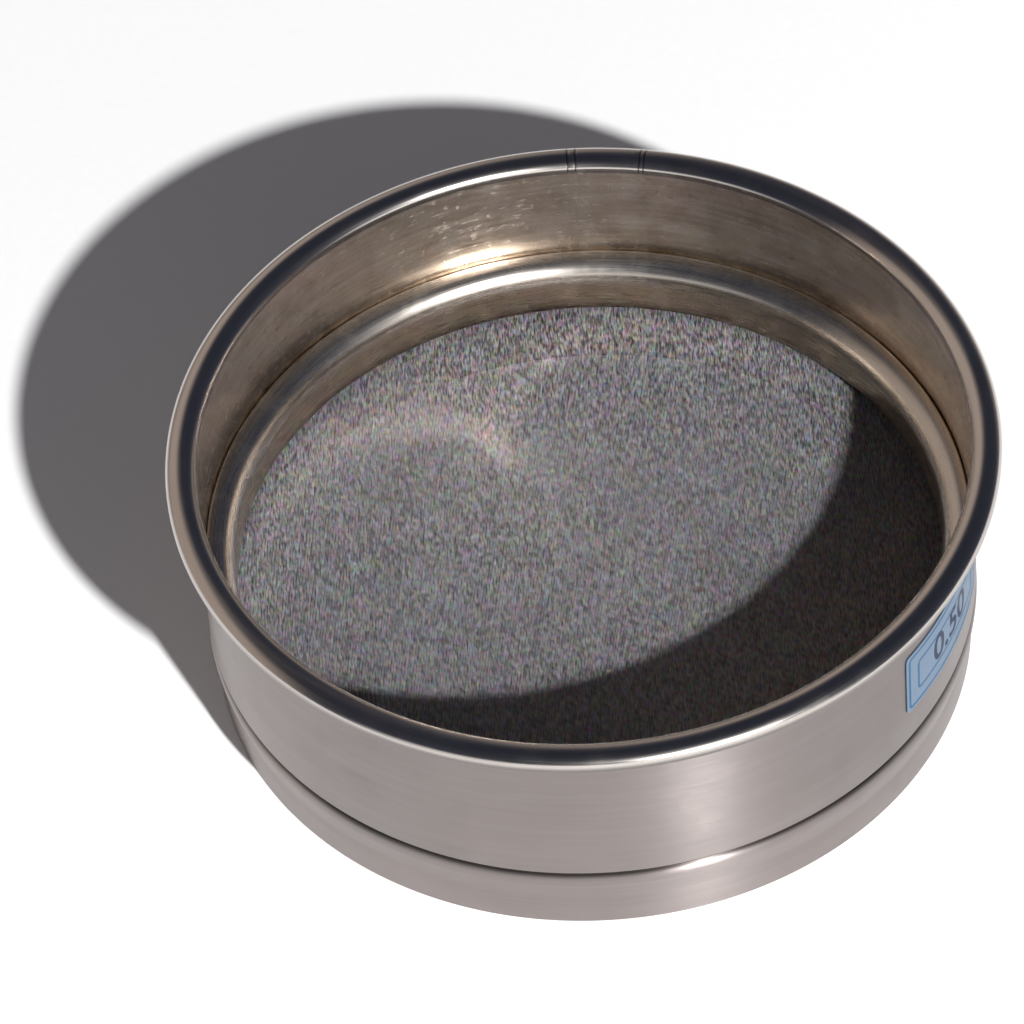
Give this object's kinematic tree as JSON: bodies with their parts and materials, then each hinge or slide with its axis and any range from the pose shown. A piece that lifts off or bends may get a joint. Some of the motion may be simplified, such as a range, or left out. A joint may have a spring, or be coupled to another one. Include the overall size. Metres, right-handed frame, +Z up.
{
  "type": "drum sieve",
  "caption": "Round metal drum sieve with a rolled rim, a fine wire cloth held by a formed ring near its foot, and a tapered skirt that nests in the next sieve.",
  "frame": {"origin": "middle of the circle that the skirt's foot stands on", "axes": "+Z up along the drum's axis, -Y towards the picture's camera, +X to the right in the picture"},
  "size_m": [0.216, 0.216, 0.073],
  "materials": {
    "satin_steel": "satin, brushed round the drum",
    "polished_steel": "polished",
    "wire_steel": "bright drawn wire",
    "solder": "dull",
    "label_film": "gloss"
  },
  "bodies": {
    "root": {"drum_frame": "satin_steel", "clamping_ring": "polished_steel", "wire_cloth": "wire_steel", "cloth_solder_bed": "solder", "nesting_skirt": "satin_steel", "groove_solder_bead": "solder", "label_plate": "label_film"}
  },
  "joints": []
}
